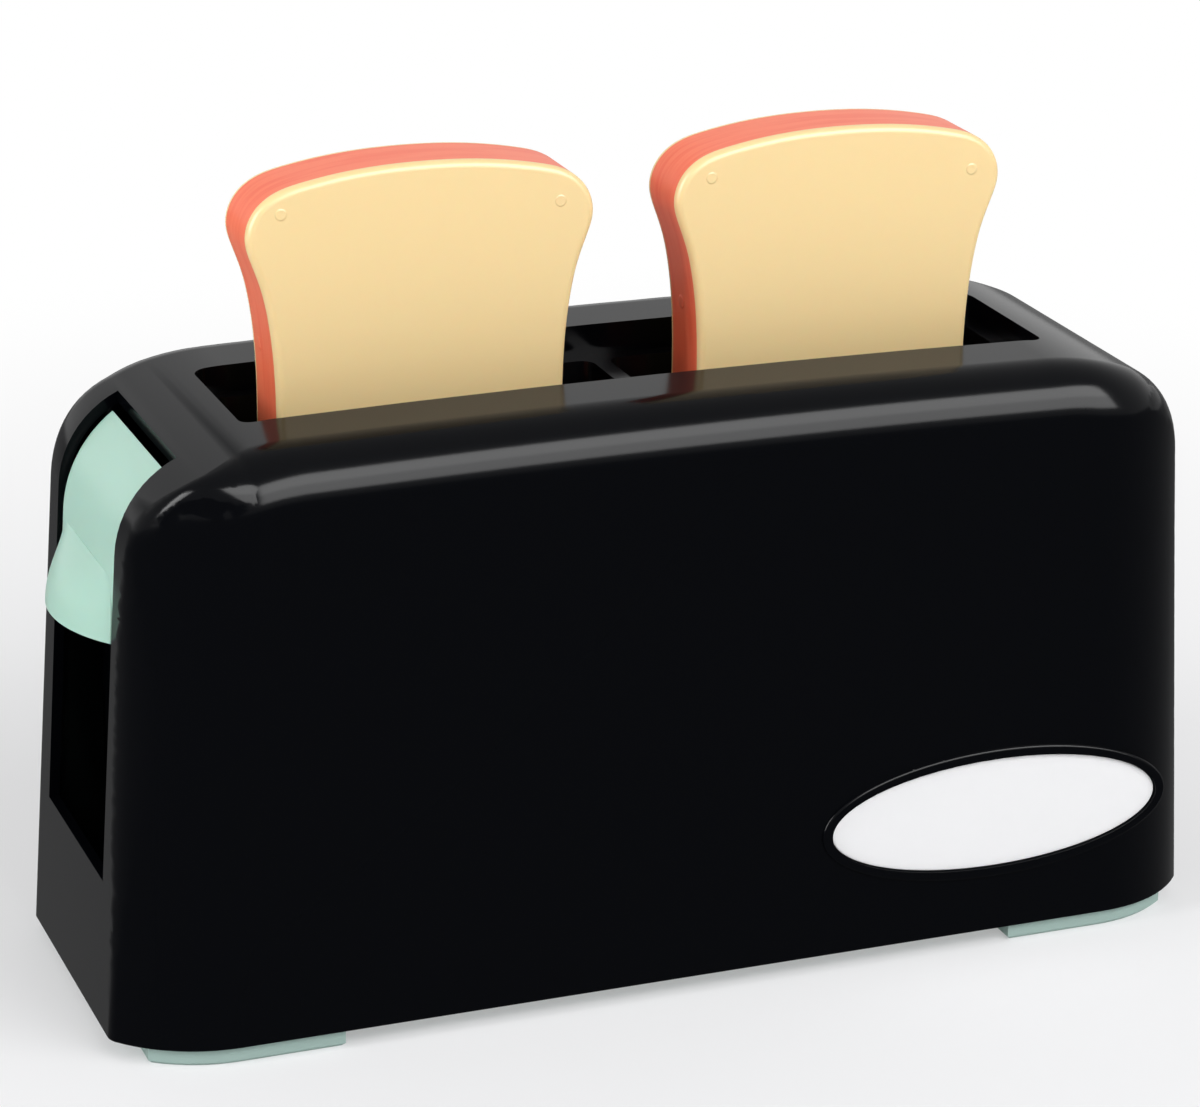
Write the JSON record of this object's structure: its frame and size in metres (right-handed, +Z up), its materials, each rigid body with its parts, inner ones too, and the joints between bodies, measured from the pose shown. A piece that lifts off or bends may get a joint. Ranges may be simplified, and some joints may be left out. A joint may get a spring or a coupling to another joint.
{
  "type": "toy toaster",
  "caption": "Toy toaster with a rounded glossy cover, a long bread slot, a spring-loaded side lever on a carriage, lift-out toasts and a base plate with feet.",
  "frame": {"origin": "centre of the cover's footprint, on the surface that the feet stand on", "axes": "+X along the length, away from the lever's end; +Y away from the face with the badge; +Z up, out of the bread slot"},
  "size_m": [0.2016, 0.0713, 0.1433],
  "materials": {
    "black_gloss": "moulded ABS with a mirror gloss",
    "badge_white": "smooth white plastic",
    "mint_base": "satin moulded plastic",
    "mint_lever": "semi-gloss moulded plastic",
    "black_satin": "satin moulded plastic",
    "screw_steel": "zinc plated",
    "post_steel": "drawn and polished",
    "spring_steel": "drawn wire",
    "crust_orange": "semi-gloss moulded plastic",
    "slice_cream": "semi-gloss moulded plastic"
  },
  "bodies": {
    "shell": {"cover": "black_gloss", "badge_plate": "badge_white", "base_plate": "mint_base", "slot_liner": "black_satin", "guide_post_left": "post_steel", "guide_post_right": "post_steel", "return_spring_left": "spring_steel", "return_spring_right": "spring_steel", "base_screws": "screw_steel", "post_screws": "screw_steel", "liner_screws": "screw_steel"},
    "carriage": {"carriage": "black_satin", "lever": "mint_lever", "lever_screws": "screw_steel"},
    "toast_left": {"toast_left_crust": "crust_orange", "toast_left_front_slice": "slice_cream", "toast_left_back_slice": "slice_cream"},
    "toast_right": {"toast_right_crust": "crust_orange", "toast_right_front_slice": "slice_cream", "toast_right_back_slice": "slice_cream"}
  },
  "joints": [
    {"name": "lever_slide", "type": "slide", "parent": "shell", "child": "carriage", "axis": [0, 0, -1], "range_m": [0, 0.04], "stiffness_N_per_m": 115, "springref_m": -0.015, "deforming": ["return_spring_left", "return_spring_right"]},
    {"name": "toast_left_lift", "type": "slide", "parent": "carriage", "child": "toast_left", "axis": [0, 0, 1], "range_m": [0, 0.03]},
    {"name": "toast_right_lift", "type": "slide", "parent": "carriage", "child": "toast_right", "axis": [0, 0, 1], "range_m": [0, 0.03]}
  ]
}
